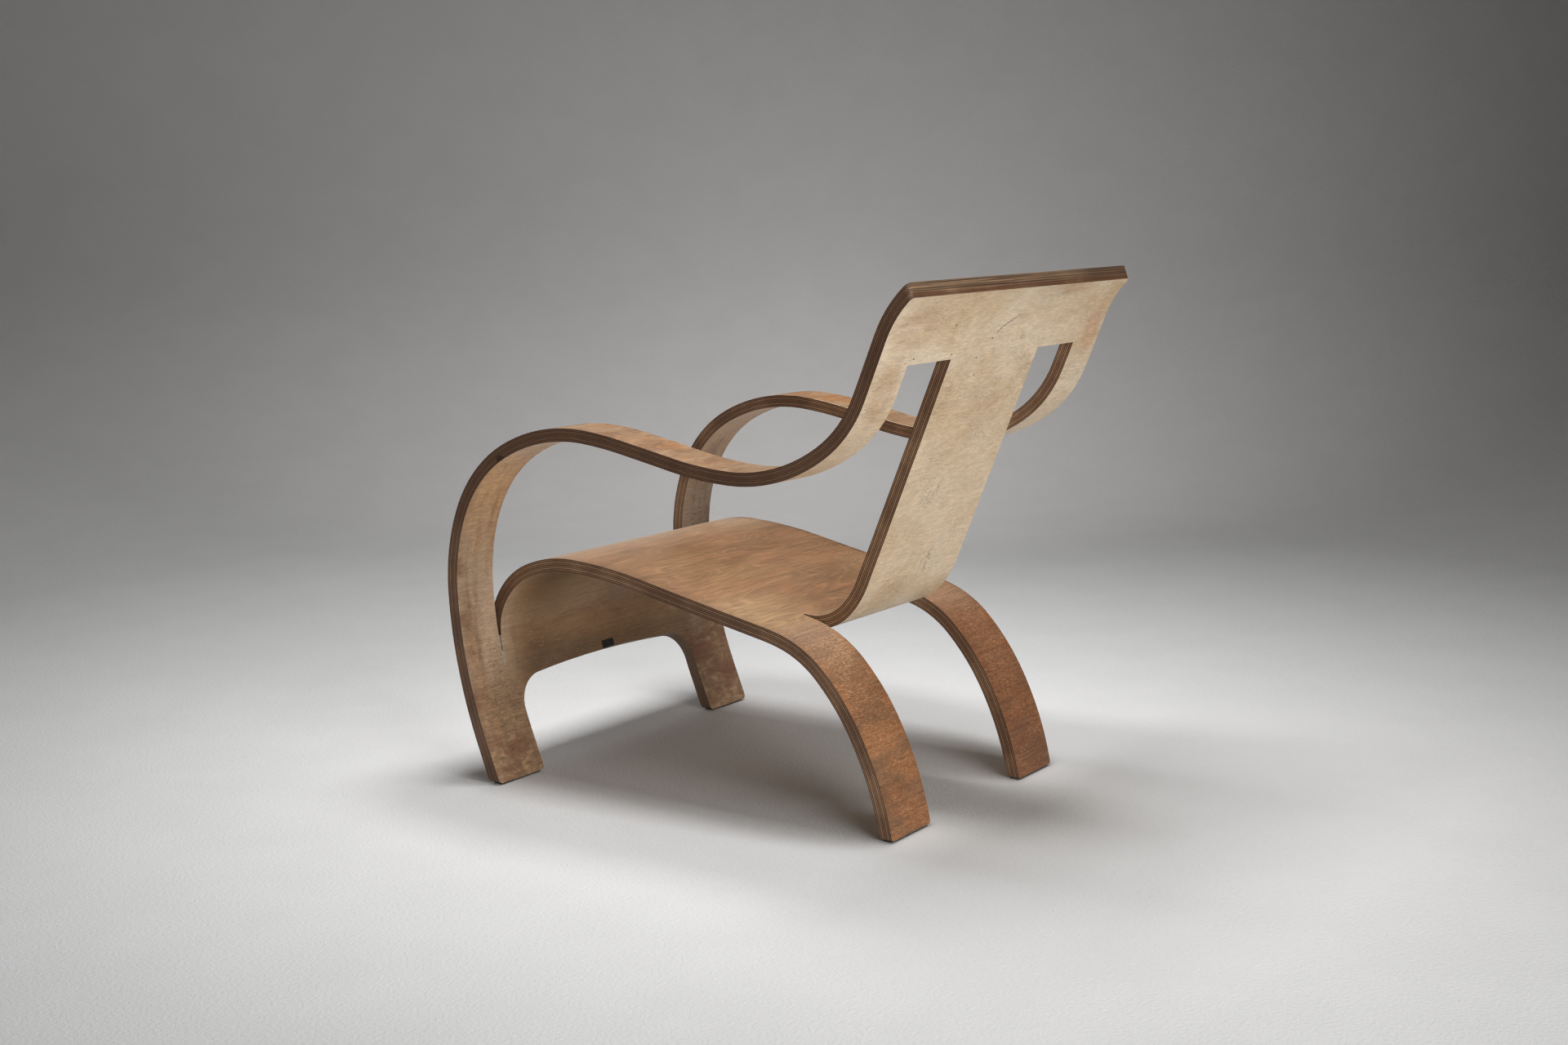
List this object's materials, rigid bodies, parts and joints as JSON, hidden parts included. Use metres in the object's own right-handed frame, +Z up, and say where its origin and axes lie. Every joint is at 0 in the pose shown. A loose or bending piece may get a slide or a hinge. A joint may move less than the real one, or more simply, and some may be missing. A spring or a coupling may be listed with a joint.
{
  "type": "bent plywood armchair",
  "caption": "Armchair made of one slit and bent sheet of birch plywood: front legs, arms, back, seat, splat and rear legs run into each other without a joint",
  "frame": {"origin": "floor level under the centre of the chair's overall box", "axes": "+X to the sitter's left, front of the chair looks along -Y, +Z up; the YZ plane is the symmetry plane"},
  "size_m": [0.605, 0.8203, 0.7572],
  "materials": {
    "face_birch": "aged clear lacquer, satin, worn",
    "long_core": "worn veneer edge, matte",
    "cross_core": "dark end-grain veneer edge, matte",
    "pad": "matte"
  },
  "bodies": {
    "root": {"face_veneer": "face_birch", "core_02": "long_core", "core_03": "cross_core", "core_04": "long_core", "core_05": "cross_core", "core_06": "long_core", "core_07": "cross_core", "core_08": "long_core", "core_09": "cross_core", "core_10": "long_core", "core_11": "cross_core", "core_12": "long_core", "back_veneer": "face_birch", "foot_pad_front_right": "pad", "foot_pad_front_left": "pad", "foot_pad_rear_right": "pad", "foot_pad_rear_left": "pad"}
  },
  "joints": []
}
